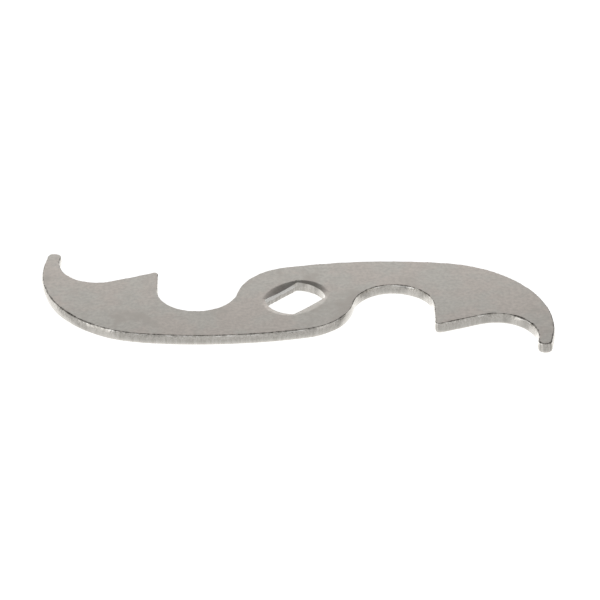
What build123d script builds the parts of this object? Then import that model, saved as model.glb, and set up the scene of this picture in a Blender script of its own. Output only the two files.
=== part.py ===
from build123d import *
import os

# Case back opener: one S-shaped blank of sheet steel with a hook at each end.
# Millimetres. +X along the length, +Z up. The origin is on the hole's axis at the underside.

PLATE_THICKNESS = 2.0

# Half of the outline is a chain of tangent arcs and straight edges. The other half is
# the same chain turned half a turn about the hole. Radii and lengths, in order:
BACK_RADIUS = 86.1
OUTER_RADIUS = 22.2
TIP_RADIUS = 1.25
NOSE_LENGTH = 1.1
HOOK_RADIUS = 7.5
EDGE_LENGTH = 8.0
SPUR_RADIUS = 0.75
SIDE_LENGTH = 5.5
NOTCH_RADIUS = 7.5
SHOULDER_RADIUS = 11.2

# How far each arc turns, in degrees: to the left where the metal is hollowed out,
# to the right where it bulges. Half of the outline turns by half a turn in all.
START_HEADING = -167.7
BACK_TURN = -20.4
OUTER_TURN = -96.7
TIP_TURN = -169.2
HOOK_TURN = 114.3
SPUR_TURN = -109.9
NOTCH_TURN = 169.4
SHOULDER_TURN = -180.0 - BACK_TURN - OUTER_TURN - TIP_TURN - HOOK_TURN - SPUR_TURN - NOTCH_TURN

# Double-D hole: a round hole with two flats, and corners as round as the punch's.
HOLE_DIAMETER = 11.2
HOLE_ACROSS_FLATS = 7.5
HOLE_FLAT_ANGLE = 45.0
HOLE_CORNER_RADIUS = 0.4

# A press leaves one edge of each cut rolled over and the other sharp. The outline was
# cut from below and the hole from above, and tumbling has broken the sharp edges.
OUTLINE_ROLL = 0.3
HOLE_ROLL = 0.4
EDGE_BREAK = 0.1


def half_outline():
    """The edges of half the outline, from shoulder end to shoulder end, centred on the origin."""
    moves = [
        (BACK_RADIUS, BACK_TURN),
        (OUTER_RADIUS, OUTER_TURN),
        (TIP_RADIUS, TIP_TURN),
        (NOSE_LENGTH, 0),
        (HOOK_RADIUS, HOOK_TURN),
        (EDGE_LENGTH, 0),
        (SPUR_RADIUS, SPUR_TURN),
        (SIDE_LENGTH, 0),
        (NOTCH_RADIUS, NOTCH_TURN),
        (SHOULDER_RADIUS, SHOULDER_TURN),
    ]
    place = Vector(0, 0)
    heading = Vector(1, 0).rotate(Axis.Z, START_HEADING)
    edges = []
    for size, turn in moves:
        if turn == 0:
            edge = Line(place, place + heading * size)
        else:
            edge = JernArc(start=place, tangent=heading, radius=size, arc_size=turn)
        edges.append(edge)
        place = edge @ 1
        heading = edge % 1
    return [edge.moved(Location(-place / 2)) for edge in edges]


def outline_face():
    """The blank's whole outline, as a face."""
    half = half_outline()
    other_half = [edge.rotate(Axis.Z, 180) for edge in half]
    return make_face(Wire(half + other_half))


def hole_face():
    """The double-D hole, as a face."""
    circle = Circle(HOLE_DIAMETER / 2)
    flats = Rectangle(HOLE_DIAMETER, HOLE_ACROSS_FLATS)
    double_d = circle & flats
    double_d = fillet(double_d.vertices(), HOLE_CORNER_RADIUS)
    return double_d.rotate(Axis.Z, HOLE_FLAT_ANGLE)


def rim(solid, height, inside_hole):
    """The edges around the hole or around the outline, in the flat face at that height."""
    face = solid.faces().filter_by(Axis.Z).sort_by(lambda f: abs(f.center().Z - height))[0]
    if inside_hole:
        return face.inner_wires()[0].edges()
    return face.outer_wire().edges()


def opener_plate():
    """The whole tool: the outline with the hole cut through it, one sheet thick."""
    plate = extrude(outline_face() - hole_face(), PLATE_THICKNESS, dir=(0, 0, 1))
    plate = fillet(rim(plate, 0, inside_hole=False), OUTLINE_ROLL)
    plate = fillet(rim(plate, PLATE_THICKNESS, inside_hole=True), HOLE_ROLL)
    plate = chamfer(rim(plate, PLATE_THICKNESS, inside_hole=False), EDGE_BREAK)
    return chamfer(rim(plate, 0, inside_hole=True), EDGE_BREAK)


os.makedirs("parts", exist_ok=True)
export_step(opener_plate(), "parts/opener_plate.step")
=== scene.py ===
import math

import bpy
import numpy as np
from mathutils import Matrix, Vector
from mathutils.geometry import tessellate_polygon


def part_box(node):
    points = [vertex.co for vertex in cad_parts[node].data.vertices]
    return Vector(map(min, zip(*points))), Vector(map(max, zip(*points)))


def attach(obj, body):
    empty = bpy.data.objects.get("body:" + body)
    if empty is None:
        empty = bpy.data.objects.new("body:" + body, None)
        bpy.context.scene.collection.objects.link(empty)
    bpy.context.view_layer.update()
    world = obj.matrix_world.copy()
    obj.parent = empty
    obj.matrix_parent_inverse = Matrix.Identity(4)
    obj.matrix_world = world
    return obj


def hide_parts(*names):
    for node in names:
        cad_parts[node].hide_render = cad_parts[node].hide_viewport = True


# A case back opener: one flat steel plate, cut out in a press, that lies in a light tent. The
# plate's outline and its hole are read from the frame, and are given the edges of a pressing.

MM = 0.001
SEED = 7

# The mesh: the longest step along an edge, and the most that one step may turn.
STEP = 0.11 * MM
STEP_TURN = math.radians(5.0)
# Vertices closer than this are one place, and a face that tilts up or down by less is upright.
SAME_PLACE = 0.002 * MM
UPRIGHT = 0.001

# How the strips of an edge are told apart. A point is a small arc. A hook's inside is a long
# straight or a fairly small arc near an end of the plate. A short strip of the hole is a corner.
POINT_RADIUS = 2.0 * MM
HOOK_LENGTH = 3.0 * MM
HOOK_RADIUS = 9.0 * MM
HOOK_PLACE = 27.5 * MM
CORNER_LENGTH = 2.0 * MM
# The columns of a strip's traits.
DISH_WIDTH, DISH_DEPTH, POINT, HOOK, STRAIGHT = range(5)
# How far the special shape or finish of a strip fades into its neighbours.
POINT_REACH = 1.2 * MM
HOOK_REACH = 2.0 * MM
WORN_REACH = 0.8 * MM
BURNISH_AND_SHEEN_REACH = 0.5 * MM
# The plate's ends begin this far out, and are fully ends after the fade.
END_PLACE = 35.0 * MM
END_FADE = 8.0 * MM

# The outline was cut from below. From the top down its edge has a tumbled break, a rough
# torn band that leans outwards, a smooth sheared band and a tall rolled corner. Away from the
# points, the frame's wall stands between the lip, where the torn band starts, and its foot.
WALL_OUT = 0.14 * MM
TEAR_LEAN = 0.18 * MM
TEAR_RIPPLE = 0.014 * MM
TEAR_CURVE = 1.6
BREAK = 0.12 * MM
SHEAR_TOP = 1.06 * MM
SHEAR_STEP = 0.04 * MM
ROLL_WIDTH = 0.18 * MM
ROLL_HEIGHT = 0.92 * MM
# The break is wider at the ends. The torn band leans less inside the hooks, but there and on
# the noses the whole edge slants out downwards. At the points the torn band doesn't lean, and
# stands a little inside its usual foot.
END_BREAK = 0.11 * MM
NOSE_BREAK = 0.10 * MM
HOOK_TEAR_LOSS = 0.5
HOOK_LEAN = 0.22 * MM
NOSE_FLARE = 0.13 * MM
POINT_IN = 0.03 * MM

# How uneven the bands are, each as a share and a wavelength.
LONG_CHIPS = (0.42, 2.4 * MM)
SHORT_CHIPS = (0.35, 0.7 * MM)
LEAN_WANDER = (0.2, 4.0 * MM)
SHEAR_WANDER = (0.07, 1.1 * MM)
HOLE_LEAN_WANDER = (0.4, 0.6 * MM)
HOLE_SHEAR_WANDER = (0.10, 1.3 * MM)
RIPPLE_WAVE = 0.35 * MM
# A random wave's peaks, as a multiple of its root mean square.
WAVE_PEAK = 1.6
# The narrowest and widest that chips leave the break, each in the middle and at the ends.
LEAST_CHIPPED = (0.15, 0.65)
MOST_CHIPPED = (1.6, 1.2)

# The rings of each band, as shares of a quarter turn or of the band's height.
BREAK_TURNS = (0.15, 0.35, 0.55, 0.75, 0.9, 1.0)
LIP_SHARES = (0.04, 0.15)
TEAR_SHARES = (0.3, 0.5, 0.7, 0.97)
ROLL_TURNS = (0.0, 0.12, 0.25, 0.4, 0.55, 0.7, 0.85, 1.0)
DISH_SHARES = (0.0, 0.06, 0.15, 0.26, 0.38, 0.5, 0.62, 0.74, 0.86, 0.95)
DISH_EDGE_TURNS = (0.35, 0.7, 1.0)
HOLE_TEAR_SHARES = (0.03, 0.4, 0.8)
HOLE_BREAK_TURNS = (0.0, 0.5, 1.0)

# The hole was cut from above, so it has the same bands the other way up. Its roll is a
# shallow dish, widest half-way along each straight or arc and narrow at the corners.
# Each dish is a width and a depth.
FLAT_DISH = (1.60 * MM, 0.28 * MM)
ARC_DISH = (1.05 * MM, 0.18 * MM)
CORNER_DISH = (0.60 * MM, 0.10 * MM)
DISH_SWELL = 0.8
DISH_POWER = 1.4
# The punch stood a little off, so the dish is deeper by this share at the back and shallower
# by it in front, from this far off the middle.
DISH_UNEVEN = 0.28
DISH_BACK = 2.0 * MM
# The dish turns down into the wall by a small round corner.
DISH_EDGE = 0.05 * MM
DISH_EDGE_START = 0.97
HOLE_SHEAR_DEPTH = 1.05 * MM
HOLE_SHEAR_STEP = 0.05 * MM
HOLE_LEAN = 0.06 * MM
HOLE_BREAK = 0.03 * MM

# A ring this far inside each edge of a flat face keeps the face's shading flat.
SUPPORT = 0.06 * MM

# The bands that the material reads. The flat faces and the dish share one finish.
BANDS = ("shear", "tear", "lip", "break")

# The steel's colours. A pair is a pattern's two ends.
FACE_DARK = ((0.598, 0.552, 0.507, 1), (0.579, 0.556, 0.513, 1))
FACE_LIGHT = ((0.754, 0.694, 0.638, 1), (0.727, 0.700, 0.648, 1))
SMUDGE = (0.585, 0.548, 0.502, 1)
SHEARED = ((0.60, 0.574, 0.530, 1), (0.72, 0.694, 0.648, 1))
TORN = ((0.57, 0.543, 0.500, 1), (0.74, 0.711, 0.662, 1))
# Painted highlight: the near-white glints on the torn band's lip.
PAINTED_GLINT = (0.98, 0.96, 0.92, 1)
# Painted shade: the break is painted dark, in place of the dark reflection of its rounded corner.
PAINTED_BREAK_SHADE = ((0.18, 0.168, 0.15, 1), (0.66, 0.625, 0.575, 1))
# The burnish on the hole's straights, painted near white: partly real burnish, partly painted sheen.
BURNISH_AND_SHEEN = (0.95, 0.935, 0.90, 1)
BUMP_HEIGHT = 0.008 * MM
# A pattern spread over nearly its whole range.
FULL_SPREAD = [(0.3, 0.0), (0.7, 1.0)]

# The camera looks along +Y and down, from far enough away for the depth to look flat.
CAMERA_ELEVATION = math.radians(31.71)
CAMERA_ROLL = math.radians(-0.53)
CAMERA_DISTANCE = 0.6817
CAMERA_LENS = 220.7
AIM_RIGHT = 0.890 * MM
AIM_UP = -0.435 * MM
CAMERA_SENSOR = 36.0
CAMERA_NEAR = 0.01
CAMERA_FAR = 20.0

# The light tent. How bright the table is to the eye low down, by degrees to the right of
# the front, and how bright the walls are, by degrees above the horizon.
TABLE_GLOW = [(-180, 1.5), (-150, 1.5), (-130, 1.06), (-118, 1.14), (-86, 0.56), (-70, 0.78),
              (-50, 0.82), (-32, 0.56), (0, 0.58), (30, 0.58), (50, 0.68), (68, 0.66),
              (90, 0.48), (110, 0.92), (130, 1.15), (150, 1.3), (180, 1.4)]
BACK_GLOW = [(-3, 0.32), (15, 0.26), (31.7, 0.23), (50, 0.17), (90, 0.12)]
SIDE_GLOW = [(-3, 0.55), (6, 0.26), (15, 0.17), (45, 0.12), (90, 0.10)]
# Straight down the table is this bright from every side.
UNDER_GLOW = 1.02
# Soft boxes: degrees to the right of the front and up, degrees from the box's middle to where
# its light starts to fade and to where it ends, and level.
SOFT_BOXES = [(-57, 12, 8, 22, 0.9), (55, 12, 8, 22, 0.6), (0, 2, 10, 32, 0.10),
              (0, 30, 12, 36, 0.30), (0, 90, 8, 22, 0.40)]
# A white card stands behind the plate, a little to the left, and lights its top face.
CARD_PLACE = (-0.15, 0.24)
CARD_WIDTH = 0.50
CARD_HEIGHT = 0.172
CARD_GLOW = 0.68
FLOOR_HALF = 3.0


# ---------------------------------------------------------------- the plate's edges

def upright_strips(mesh):
    """The plate's upright walls, as one set of faces for each arc or straight of an edge."""
    owner = {}

    def root(vertex):
        while owner.setdefault(vertex, vertex) != vertex:
            vertex = owner[vertex]
        return vertex

    for face in mesh.polygons:
        if abs(face.normal.z) < UPRIGHT:
            for vertex in face.vertices[1:]:
                owner[root(vertex)] = root(face.vertices[0])
    strips = {}
    for vertex in list(owner):
        strips.setdefault(root(vertex), set()).add(vertex)
    return [strip_points(mesh, strip) for strip in strips.values()]


def strip_points(mesh, strip):
    """The different places, in plan, of a strip's vertices."""
    places = []
    for vertex in sorted(strip):
        place = np.array(mesh.vertices[vertex].co[:2], float)
        if all(np.linalg.norm(place - other) > SAME_PLACE for other in places):
            places.append(place)
    return np.array(places)


def circle_through(points):
    """The centre of the circle that fits the points best."""
    ones = np.ones(len(points))
    matrix = np.column_stack([2 * points, ones])
    solved = np.linalg.lstsq(matrix, (points ** 2).sum(1), rcond=None)[0]
    return solved[:2]


def fit_strip(points):
    """A strip as its two ends and the centre of its arc, or no centre if it is straight."""
    if len(points) == 2:
        return points[0], points[1], None
    centre = circle_through(points)
    spokes = points - centre
    middle = spokes.mean(0)
    across = np.array([-middle[1], middle[0]])
    angles = np.arctan2(spokes @ across, spokes @ middle)
    order = np.argsort(angles)
    return points[order[0]], points[order[-1]], centre


def chain_loops(strips):
    """The strips end to end, as closed loops, each strip turned to run the same way."""
    waiting = [fit_strip(points) for points in strips]
    loops = []
    while waiting:
        loop = [waiting.pop(0)]
        while np.linalg.norm(loop[-1][1] - loop[0][0]) > SAME_PLACE:
            end = loop[-1][1]
            gaps = [min(np.linalg.norm(s[0] - end), np.linalg.norm(s[1] - end)) for s in waiting]
            first, last, centre = waiting.pop(int(np.argmin(gaps)))
            if np.linalg.norm(last - end) < np.linalg.norm(first - end):
                first, last = last, first
            loop.append((first, last, centre))
        loops.append(loop)
    return loops


def walk_piece(first, last, centre):
    """Points along one strip, without its last, with their headings and shares of the strip."""
    if centre is None:
        run = last - first
        length = np.linalg.norm(run)
        count = max(2, math.ceil(length / STEP))
        share = np.arange(count) / count
        return first + share[:, None] * run, np.repeat(run[None] / length, count, 0), share, length
    spoke, final = first - centre, last - centre
    turn = math.atan2(spoke[0] * final[1] - spoke[1] * final[0], spoke @ final)
    radius = np.linalg.norm(spoke)
    count = max(2, math.ceil(max(radius * abs(turn) / STEP, abs(turn) / STEP_TURN)))
    share = np.arange(count) / count
    angles = math.atan2(spoke[1], spoke[0]) + turn * share
    out = np.column_stack([np.cos(angles), np.sin(angles)])
    along = np.column_stack([-out[:, 1], out[:, 0]]) * math.copysign(1, turn)
    return centre + radius * out, along, share, radius * abs(turn)


def walk_loop(loop):
    """A whole loop, counter-clockwise: points, the way to its right, and its strips' traits."""
    walked = [walk_piece(*piece) for piece in loop]
    points = np.concatenate([walk[0] for walk in walked])
    along = np.concatenate([walk[1] for walk in walked])
    traits = np.concatenate([strip_traits(piece, walk) for piece, walk in zip(loop, walked)])
    right = np.column_stack([along[:, 1], -along[:, 0]])
    shifted = np.roll(points, -1, 0)
    area = (points[:, 0] * shifted[:, 1] - shifted[:, 0] * points[:, 1]).sum()
    if area < 0:
        return points[::-1], -right[::-1], traits[::-1]
    return points, right, traits


def strip_traits(piece, walk):
    """For each point of a strip: a dish's width and depth there, then point, hook and straight."""
    share, length = walk[2], walk[3]
    centre = piece[2]
    radius = math.inf if centre is None else np.linalg.norm(piece[0] - centre)
    widest = FLAT_DISH if centre is None else ARC_DISH
    swell = np.zeros(len(share))
    if length >= CORNER_LENGTH:
        swell = np.sin(math.pi * share) ** DISH_SWELL
    dish = [narrow + (wide - narrow) * swell for narrow, wide in zip(CORNER_DISH, widest)]
    far_out = abs(piece[0][0] + piece[1][0]) / 2 > HOOK_PLACE
    inside = length > HOOK_LENGTH and not HOOK_RADIUS < radius < math.inf
    marks = (radius < POINT_RADIUS, inside and far_out, centre is None)
    return np.column_stack([*dish, *(np.full(len(share), float(mark)) for mark in marks)])


def soften(values, points, reach):
    """Values along a closed loop, averaged over that distance either way."""
    steps = np.linalg.norm(np.roll(points, -1, 0) - points, axis=1)
    place = np.concatenate([[0.0], np.cumsum(steps)[:-1]])
    length = steps.sum()
    apart = np.abs(place[:, None] - place[None, :])
    apart = np.minimum(apart, length - apart)
    weight = np.clip(1 - apart / reach, 0, None) * steps
    return weight @ values / weight.sum(1)


def read_edges(node):
    """The plate's outline and its hole: points, the way into the air, and the strips' traits."""
    loops = [walk_loop(loop) for loop in chain_loops(upright_strips(node.data))]
    loops.sort(key=lambda loop: np.ptp(loop[0][:, 0]))
    hole, hole_right, hole_traits = loops[0]
    outline, outline_right, outline_traits = loops[-1]
    return (outline, outline_right, outline_traits), (hole, -hole_right, hole_traits)


# ---------------------------------------------------------------- the plate's mesh

def wander(points, wavelength, seed):
    """A smooth random value, about -1 to 1, at each point of a closed loop."""
    steps = np.linalg.norm(np.roll(points, -1, 0) - points, axis=1)
    length = steps.sum()
    place = np.concatenate([[0.0], np.cumsum(steps)[:-1]]) / length
    random = np.random.default_rng(seed)
    waves = np.arange(1, max(3, int(length / wavelength)))
    phases = random.uniform(0, 2 * math.pi, len(waves))
    sizes = random.normal(0, 1, len(waves))
    value = (sizes * np.sin(2 * math.pi * np.outer(place, waves) + phases)).sum(1)
    return value / (np.sqrt((sizes ** 2).sum() / 2) * WAVE_PEAK)


def uneven(points, kind, seed):
    """A smooth random factor around 1, of a kind given as a share and a wavelength."""
    share, wavelength = kind
    return 1 + share * wander(points, wavelength, seed)


def ripple(points, share, first_seed):
    """The torn band's own roughness, different for each share of its height."""
    return TEAR_RIPPLE * wander(points, RIPPLE_WAVE, first_seed + int(10 * share))


def quarter(turn):
    """The sine of that share of a quarter turn, and one less its cosine."""
    angle = 0.5 * math.pi * turn
    return math.sin(angle), 1 - math.cos(angle)


def break_width(points, end, pointed):
    """How wide the tumbled break is: chipped, and wider and more even at the ends."""
    chips = uneven(points, LONG_CHIPS, SEED + 1) + uneven(points, SHORT_CHIPS, SEED + 6) - 1
    width = BREAK + end * (END_BREAK + (NOSE_BREAK - END_BREAK) * pointed)
    least, most = (middle + (outer - middle) * end for middle, outer in (LEAST_CHIPPED, MOST_CHIPPED))
    return width * np.clip(chips, least, most)


def outline_rings(points, traits, bottom, top):
    """The outline's edge from the top face down, as (way out, height, band) for each ring."""
    pointed = soften(traits[:, POINT], points, POINT_REACH)
    hooked = soften(traits[:, HOOK], points, HOOK_REACH)
    end = np.clip((np.abs(points[:, 0]) - END_PLACE) / END_FADE, 0, 1)
    width = break_width(points, end, pointed)
    lean = TEAR_LEAN * (1 - pointed) * (1 - HOOK_TEAR_LOSS * hooked)
    lean *= uneven(points, LEAN_WANDER, SEED + 2)
    shear_top = bottom + SHEAR_TOP * uneven(points, SHEAR_WANDER, SEED + 3)
    tear_top = top - width
    lip = WALL_OUT - TEAR_LEAN * (1 - pointed) - POINT_IN * pointed
    foot = lip + lean
    rings = [(lip - width - SUPPORT, top, "flat"), (lip - width, top, "flat")]
    for turn in BREAK_TURNS:
        out, down = quarter(turn)
        rings.append((lip - width * (1 - out), top - width * down, "break"))
    for share in LIP_SHARES + TEAR_SHARES:
        out = lip + lean * (1 - (1 - share) ** TEAR_CURVE) + ripple(points, share, SEED + 10)
        band = "lip" if share in LIP_SHARES else "tear"
        rings.append((out, tear_top + (shear_top - tear_top) * share, band))
    rings.append((foot, shear_top - SHEAR_STEP, "shear"))
    for turn in ROLL_TURNS:
        down, inwards = quarter(turn)
        rings.append((foot - ROLL_WIDTH * inwards, bottom + ROLL_HEIGHT * (1 - down), "shear"))
    rings.append((foot - ROLL_WIDTH - SUPPORT, bottom, "flat"))
    slant = HOOK_LEAN * hooked * (1 - pointed) + NOSE_FLARE * end * pointed
    return [(out + slant * np.clip((tear_top - height) / (top - bottom), 0, 1), height, band)
            for out, height, band in rings]


def hole_rings(points, traits, bottom, top):
    """The hole's edge from the top face down, as (way out, height, band) for each ring."""
    backwards = np.clip(points[:, 1] / DISH_BACK, -1, 1)
    dish = traits[:, DISH_WIDTH]
    depth = traits[:, DISH_DEPTH] * (1 + DISH_UNEVEN * backwards)
    lean = HOLE_LEAN * uneven(points, HOLE_LEAN_WANDER, SEED + 5)
    shear_end = top - HOLE_SHEAR_DEPTH * uneven(points, HOLE_SHEAR_WANDER, SEED + 4)
    tear_end = bottom + HOLE_BREAK
    rings = [(-dish - SUPPORT, top, "flat")]
    for share in DISH_SHARES:
        inset = (dish - DISH_EDGE) * (1 - share) + DISH_EDGE
        rings.append((-inset, top - depth * share ** DISH_POWER, "dish"))
    for turn in DISH_EDGE_TURNS:
        out, down = quarter(turn)
        rings.append((-DISH_EDGE * (1 - out), top - depth * DISH_EDGE_START - DISH_EDGE * down, "shear"))
    rings.append((0.0, shear_end + HOLE_SHEAR_STEP, "shear"))
    for share in HOLE_TEAR_SHARES:
        out = ripple(points, share, SEED + 20) - lean * share
        rings.append((out, shear_end + (tear_end - shear_end) * share, "tear"))
    for turn in HOLE_BREAK_TURNS:
        down, inwards = quarter(turn)
        rings.append((-lean - HOLE_BREAK * inwards, bottom + HOLE_BREAK * (1 - down), "tear"))
    rings.append((-lean - HOLE_BREAK - SUPPORT, bottom, "flat"))
    return rings


def place_rings(points, air, rings):
    """The rings as places in space, and the band of each vertex."""
    places = []
    bands = []
    for out, height, band in rings:
        outs = np.broadcast_to(out, len(points))[:, None]
        heights = np.broadcast_to(height, len(points))
        places.append(np.column_stack([points + air * outs, heights]))
        bands += [band] * len(points)
    return places, bands


def band_faces(first, count, rings, inward):
    """The faces between rings of count vertices each, numbered from first."""
    faces = []
    for ring in range(rings - 1):
        upper, lower = first + ring * count, first + (ring + 1) * count
        for i in range(count):
            j = (i + 1) % count
            face = (upper + j, upper + i, lower + i, lower + j)
            faces.append(face[::-1] if inward else face)
    return faces


def flat_faces(outline, hole, outline_first, hole_first, upward):
    """The triangles of a flat face with one hole, numbered from each loop's first vertex."""
    corners = [Vector(place) for place in np.concatenate([outline, hole])]
    count = len(outline)
    numbers = [*range(outline_first, outline_first + count), *range(hole_first, hole_first + len(hole))]
    faces = []
    for a, b, c in tessellate_polygon([corners[:count], corners[count:]]):
        rising = (corners[b] - corners[a]).cross(corners[c] - corners[a]).z > 0
        face = (numbers[a], numbers[b], numbers[c])
        faces.append(face if rising == upward else face[::-1])
    return faces


def keep_numbers(mesh, name, numbers):
    """Keeps a number for each of the mesh's vertices, for the material to read."""
    attribute = mesh.attributes.new(name, "FLOAT", "POINT")
    attribute.data.foreach_set("value", numbers)


def build_plate(node, low, high):
    """The plate as a fine mesh: two flat faces and the press-cut edges between them."""
    (outline, outline_air, outline_traits), (hole, hole_air, hole_traits) = read_edges(node)
    outline_edge = outline_rings(outline, outline_traits, low.z, high.z)
    hole_edge = hole_rings(hole, hole_traits, low.z, high.z)
    outer, outer_bands = place_rings(outline, outline_air, outline_edge)
    inner, inner_bands = place_rings(hole, hole_air, hole_edge)
    n, m = len(outline), len(hole)
    inner_first = n * len(outer)
    faces = band_faces(0, n, len(outer), inward=False)
    faces += band_faces(inner_first, m, len(inner), inward=True)
    faces += flat_faces(outer[0], inner[0], 0, inner_first, upward=True)
    last_outer, last_inner = n * (len(outer) - 1), inner_first + m * (len(inner) - 1)
    faces += flat_faces(outer[-1], inner[-1], last_outer, last_inner, upward=False)

    mesh = bpy.data.meshes.new("opener_plate_steel")
    mesh.from_pydata(np.concatenate(outer + inner).tolist(), [], faces)
    mesh.shade_smooth()
    for name in BANDS:
        keep_numbers(mesh, "band_" + name, [float(band == name) for band in outer_bands + inner_bands])
    worn = soften(outline_traits[:, POINT], outline, WORN_REACH).tolist()
    burnish_and_sheen = soften(hole_traits[:, STRAIGHT], hole, BURNISH_AND_SHEEN_REACH).tolist()
    keep_numbers(mesh, "worn", worn * len(outer) + [0.0] * len(inner_bands))
    keep_numbers(mesh, "burnish_and_sheen", [0.0] * len(outer_bands) + burnish_and_sheen * len(inner))
    plate = bpy.data.objects.new("opener_plate_steel", mesh)
    bpy.context.scene.collection.objects.link(plate)
    return plate


# ---------------------------------------------------------------- materials and light

class Nodes:
    """Short calls for building a node tree."""

    def __init__(self, tree):
        self.tree = tree
        tree.nodes.clear()

    def add(self, kind, **values):
        """A node of that kind, with its settings and plain inputs."""
        node = self.tree.nodes.new(kind)
        for name, value in values.items():
            if hasattr(node, name):
                setattr(node, name, value)
            else:
                self.feed(node.inputs[name.replace("_", " ")], value)
        return node

    def feed(self, socket, value):
        """Links a socket, or sets its value."""
        if isinstance(value, bpy.types.NodeSocket):
            self.tree.links.new(value, socket)
        else:
            socket.default_value = value

    def math(self, operation, a, b=0.0, clamp=False):
        """A Math node's result."""
        node = self.add("ShaderNodeMath", operation=operation, use_clamp=clamp)
        self.feed(node.inputs[0], a)
        self.feed(node.inputs[1], b)
        return node.outputs[0]

    def ramp(self, value, stops, interpolation="EASE"):
        """A curve through (place, level) stops, as a number. It is smooth unless told otherwise."""
        node = self.add("ShaderNodeValToRGB")
        node.color_ramp.interpolation = interpolation
        elements = node.color_ramp.elements
        while len(elements) < len(stops):
            elements.new(0.5)
        for element, (place, level) in zip(elements, stops):
            element.position = place
            element.color = (level, level, level, 1)
        self.feed(node.inputs[0], value)
        return node.outputs[0]

    def noise(self, vector, scale, detail, roughness):
        """A cloudy pattern around 0.5, with that many waves per metre."""
        node = self.add("ShaderNodeTexNoise", Scale=scale, Detail=detail, Roughness=roughness)
        self.feed(node.inputs["Vector"], vector)
        return node.outputs[0]

    def stretch(self, vector, scale):
        """The vector with each axis scaled on its own. A small scale makes a long pattern."""
        node = self.add("ShaderNodeMapping")
        self.feed(node.inputs["Vector"], vector)
        node.inputs["Scale"].default_value = scale
        return node.outputs[0]

    def scale(self, value, by, plus):
        """The value times one number, plus another."""
        node = self.add("ShaderNodeMath", operation="MULTIPLY_ADD")
        self.feed(node.inputs[0], value)
        node.inputs[1].default_value = by
        node.inputs[2].default_value = plus
        return node.outputs[0]

    def attribute(self, name):
        """A number kept on the mesh's vertices."""
        return self.add("ShaderNodeAttribute", attribute_name=name).outputs["Fac"]

    def blend(self, share, a, b):
        """A number between a and b."""
        node = self.add("ShaderNodeMix", data_type="FLOAT")
        # A Mix node's numbers are its sockets 2 and 3.
        for socket, value in zip((0, 2, 3), (share, a, b)):
            self.feed(node.inputs[socket], value)
        return node.outputs[0]

    def patch(self, way, azimuth, elevation, inner, outer, level):
        """A soft round patch of light: full within inner degrees of its middle, none past outer."""
        turn, rise = math.radians(azimuth), math.radians(elevation)
        middle = (math.sin(turn) * math.cos(rise), -math.cos(turn) * math.cos(rise), math.sin(rise))
        dot = self.add("ShaderNodeVectorMath", operation="DOT_PRODUCT")
        self.feed(dot.inputs[0], way)
        dot.inputs[1].default_value = middle
        fade = self.add("ShaderNodeMapRange", interpolation_type="SMOOTHSTEP")
        self.feed(fade.inputs["Value"], dot.outputs["Value"])
        fade.inputs["From Min"].default_value = math.cos(math.radians(outer))
        fade.inputs["From Max"].default_value = math.cos(math.radians(inner))
        fade.inputs["To Max"].default_value = level
        return fade.outputs[0]

    def mix(self, share, a, b):
        """A colour between a and b."""
        node = self.add("ShaderNodeMix", data_type="RGBA")
        # A Mix node's colours are its sockets 6 and 7, and its result's is output 2.
        self.feed(node.inputs[0], share)
        self.feed(node.inputs[6], a)
        self.feed(node.inputs[7], b)
        return node.outputs[2]


def steel_patterns(nodes):
    """The patterns that the steel's colour, gloss and relief are made from."""
    place = nodes.add("ShaderNodeTexCoord").outputs["Object"]
    upright = nodes.stretch(place, (1.0, 1.0, 0.12))
    lumpy = nodes.stretch(place, (1.0, 1.0, 0.8))
    return {
        "tints": nodes.noise(place, 120.0, 3.0, 0.6),
        "smudges": nodes.noise(place, 150.0, 3.0, 0.6),
        "clouds": nodes.noise(place, 420.0, 3.0, 0.6),
        "blotches": nodes.noise(place, 1500.0, 2.0, 0.6),
        "grain": nodes.noise(place, 4200.0, 1.0, 0.5),
        "streaks": nodes.noise(upright, 2200.0, 3.0, 0.6),
        "crumbs": nodes.noise(lumpy, 3200.0, 3.0, 0.6),
    }


def steel_colour(nodes, bands, patterns):
    """Mottled faces, streaked sheared bands, painted glints on the lip, painted shade on the breaks,
    painted sheen on the hole's burnish.
    """
    tints = nodes.ramp(patterns["tints"], [(0.40, 0.0), (0.60, 1.0)])
    smudges = nodes.ramp(patterns["smudges"], [(0.54, 0.0), (0.70, 1.0)])
    spots = nodes.ramp(nodes.blend(0.6, patterns["clouds"], patterns["blotches"]), FULL_SPREAD)
    face = nodes.mix(spots, nodes.mix(tints, *FACE_DARK), nodes.mix(tints, *FACE_LIGHT))
    face = nodes.mix(smudges, face, SMUDGE)
    sheared = nodes.mix(nodes.ramp(patterns["streaks"], FULL_SPREAD), *SHEARED)
    # On the hole's straights the sheared band is a real burnish, painted near white as a painted sheen.
    burnish_and_sheen = nodes.math("MULTIPLY", nodes.attribute("burnish_and_sheen"), bands["shear"])
    crumbs = nodes.blend(0.75, patterns["streaks"], patterns["crumbs"])
    torn = nodes.mix(nodes.ramp(crumbs, [(0.3, 0.0), (0.72, 1.0)]), *TORN)
    # Painted highlight: where the clouds are bright, the lip is painted near white as glints.
    painted_glints = nodes.ramp(patterns["clouds"], [(0.50, 0.0), (0.60, 1.0)])
    torn = nodes.mix(nodes.math("MULTIPLY", painted_glints, bands["lip"]), torn, PAINTED_GLINT)
    # Painted shade: the break's dark, blotchy colour stands in for its dark reflection.
    painted_break_shade = nodes.mix(nodes.ramp(patterns["blotches"], FULL_SPREAD), *PAINTED_BREAK_SHADE)
    colour = nodes.mix(bands["tear"], nodes.mix(bands["shear"], face, sheared), torn)
    colour = nodes.mix(bands["break"], colour, painted_break_shade)
    return nodes.mix(burnish_and_sheen, colour, BURNISH_AND_SHEEN)


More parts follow.
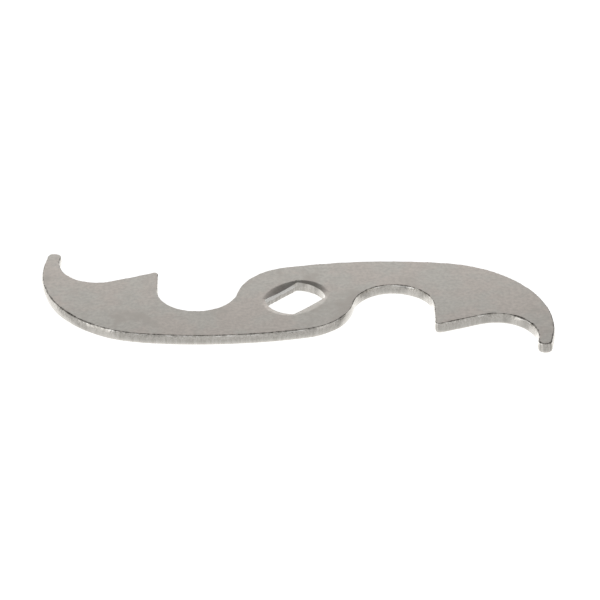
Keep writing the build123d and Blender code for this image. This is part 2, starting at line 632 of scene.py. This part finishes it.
def steel_roughness(nodes, wall, worn, patterns):
    """Satin flat faces, and glossier walls, most of all where they are worn."""
    face = nodes.scale(patterns["clouds"], 0.10, 0.27)
    cut = nodes.blend(worn, nodes.scale(patterns["streaks"], 0.16, 0.14), 0.12)
    return nodes.blend(wall, face, cut)


def steel_relief(nodes, wall, worn, tear, patterns):
    """Fine bumps: a grain on the flat faces, streaks where sheared and crumbs where torn."""
    face = nodes.blend(0.4, patterns["blotches"], patterns["grain"])
    streaks = nodes.scale(patterns["streaks"], 0.5, 0.0)
    cut = nodes.blend(nodes.math("MULTIPLY", tear, 0.85), streaks, patterns["crumbs"])
    bump = nodes.add("ShaderNodeBump", Distance=BUMP_HEIGHT)
    nodes.feed(bump.inputs["Strength"], nodes.scale(worn, -0.7, 1.0))
    nodes.feed(bump.inputs["Height"], nodes.blend(wall, face, nodes.scale(cut, 0.35, 0.0)))
    return bump.outputs[0]


def steel_material():
    """Stainless steel: satin tumbled flat faces, and press-cut edges with their own bands."""
    material = bpy.data.materials.new("satin_steel")
    material.use_nodes = True
    nodes = Nodes(material.node_tree)
    bands = {band: nodes.attribute("band_" + band) for band in BANDS}
    bands["tear"] = nodes.math("ADD", bands["tear"], bands["lip"], clamp=True)
    wall = nodes.math("ADD", bands["shear"], bands["tear"], clamp=True)
    worn = nodes.attribute("worn")
    patterns = steel_patterns(nodes)

    shader = nodes.add("ShaderNodeBsdfPrincipled", Metallic=1.0)
    nodes.feed(shader.inputs["Base Color"], steel_colour(nodes, bands, patterns))
    nodes.feed(shader.inputs["Roughness"], steel_roughness(nodes, wall, worn, patterns))
    nodes.feed(shader.inputs["Normal"], steel_relief(nodes, wall, worn, bands["tear"], patterns))
    output = nodes.add("ShaderNodeOutputMaterial")
    nodes.feed(output.inputs["Surface"], shader.outputs[0])
    return material


def floor_material():
    """Plain pale paper that glows a little, so that it reads as white."""
    material = bpy.data.materials.new("pale_paper")
    material.use_nodes = True
    nodes = Nodes(material.node_tree)
    shader = nodes.add("ShaderNodeBsdfPrincipled", Roughness=0.9)
    shader.inputs["Base Color"].default_value = (0.9, 0.9, 0.9, 1)
    shader.inputs["Emission Color"].default_value = (1, 1, 1, 1)
    shader.inputs["Emission Strength"].default_value = 0.9
    output = nodes.add("ShaderNodeOutputMaterial")
    nodes.feed(output.inputs["Surface"], shader.outputs[0])
    return material


def by_height(glow):
    """Levels by degrees above the horizon, as a ramp's stops from straight down to straight up."""
    return [(0.5 + 0.5 * math.sin(math.radians(rise)), level) for rise, level in glow]


def studio_light():
    """A light tent: a glowing table, dim walls and roof, and soft boxes in front and overhead."""
    world = bpy.data.worlds.new("light_tent")
    bpy.context.scene.world = world
    world.use_nodes = True
    nodes = Nodes(world.node_tree)
    way = nodes.add("ShaderNodeTexCoord").outputs["Generated"]
    parts = nodes.add("ShaderNodeSeparateXYZ", Vector=way).outputs
    azimuth = nodes.math("ARCTAN2", parts[0], nodes.math("MULTIPLY", parts[1], -1.0))
    around = nodes.scale(azimuth, 0.5 / math.pi, 0.5)
    height = nodes.scale(parts[2], 0.5, 0.5)

    table = nodes.ramp(around, [(0.5 + turn / 360, level) for turn, level in TABLE_GLOW])
    downwards = nodes.ramp(height, [(0.0, 1.0), (0.035, 1.0), (0.23, 0.0)], "LINEAR")
    below = nodes.blend(downwards, table, UNDER_GLOW)
    backwards = nodes.scale(nodes.math("COSINE", azimuth), -0.5, 0.5)
    behind = nodes.ramp(backwards, [(0.55, 0.0), (0.85, 1.0)])
    side_wall = nodes.ramp(height, by_height(SIDE_GLOW))
    back_wall = nodes.ramp(height, by_height(BACK_GLOW))
    above = nodes.blend(behind, side_wall, back_wall)
    radiance = nodes.blend(nodes.ramp(height, [(0.46, 0.0), (0.52, 1.0)]), below, above)
    for box in SOFT_BOXES:
        radiance = nodes.math("ADD", radiance, nodes.patch(way, *box))

    background = nodes.add("ShaderNodeBackground", Strength=1.0)
    nodes.feed(background.inputs["Color"], radiance)
    output = nodes.add("ShaderNodeOutputWorld")
    nodes.feed(output.inputs["Surface"], background.outputs[0])


def stand_card(bottom):
    """The white card behind the plate, as a lamp that faces it and that the camera can't see."""
    light = bpy.data.lights.new("card", "AREA")
    light.shape = "RECTANGLE"
    light.size = CARD_WIDTH
    light.size_y = CARD_HEIGHT
    light.energy = CARD_GLOW * math.pi * CARD_WIDTH * CARD_HEIGHT
    card = bpy.data.objects.new("card", light)
    card.location = (*CARD_PLACE, bottom + CARD_HEIGHT / 2)
    card.rotation_euler = (-math.pi / 2, 0, 0)
    card.visible_camera = False
    bpy.context.scene.collection.objects.link(card)


def lay_floor(bottom):
    """A wide pale floor under the plate.

    The steel doesn't reflect it, and it stops no light, so that the steel sees the light tent's
    table in its place.
    """
    half = FLOOR_HALF
    corners = [(-half, -half, bottom), (half, -half, bottom), (half, half, bottom), (-half, half, bottom)]
    mesh = bpy.data.meshes.new("floor")
    mesh.from_pydata(corners, [], [(0, 1, 2, 3)])
    floor = bpy.data.objects.new("floor", mesh)
    bpy.context.scene.collection.objects.link(floor)
    mesh.materials.append(floor_material())
    floor.visible_glossy = False
    floor.visible_shadow = False


def place_camera(target):
    """The camera, aimed a little to one side of the target."""
    ahead = Vector((0, math.cos(CAMERA_ELEVATION), -math.sin(CAMERA_ELEVATION)))
    right = Vector((1, 0, 0))
    up = right.cross(ahead)
    turn = Matrix.Rotation(-CAMERA_ROLL, 3, ahead)
    right, up = turn @ right, turn @ up
    camera = bpy.data.objects.new("camera", bpy.data.cameras.new("camera"))
    bpy.context.scene.collection.objects.link(camera)
    camera.data.lens = CAMERA_LENS
    camera.data.sensor_width = CAMERA_SENSOR
    camera.data.clip_start = CAMERA_NEAR
    camera.data.clip_end = CAMERA_FAR
    place = target + right * AIM_RIGHT + up * AIM_UP - ahead * CAMERA_DISTANCE
    turned = Matrix((right, up, -ahead)).transposed().to_4x4()
    camera.matrix_world = Matrix.Translation(place) @ turned
    bpy.context.scene.camera = camera


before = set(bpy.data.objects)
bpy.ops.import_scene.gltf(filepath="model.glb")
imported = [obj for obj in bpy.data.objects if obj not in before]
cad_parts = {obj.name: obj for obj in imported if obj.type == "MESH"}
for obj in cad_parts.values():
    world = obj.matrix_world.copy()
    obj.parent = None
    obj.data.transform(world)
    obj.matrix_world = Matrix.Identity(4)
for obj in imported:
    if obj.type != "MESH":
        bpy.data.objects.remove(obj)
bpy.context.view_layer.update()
node_low, node_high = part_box("opener_plate")
hole_top = Vector((0, 0, node_high.z))

place_camera(hole_top)
studio_light()
stand_card(node_low.z)
lay_floor(node_low.z)
bpy.context.scene.view_settings.view_transform = "Standard"

plate = build_plate(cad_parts["opener_plate"], node_low, node_high)
plate.data.materials.append(steel_material())
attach(plate, "root")
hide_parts("opener_plate")
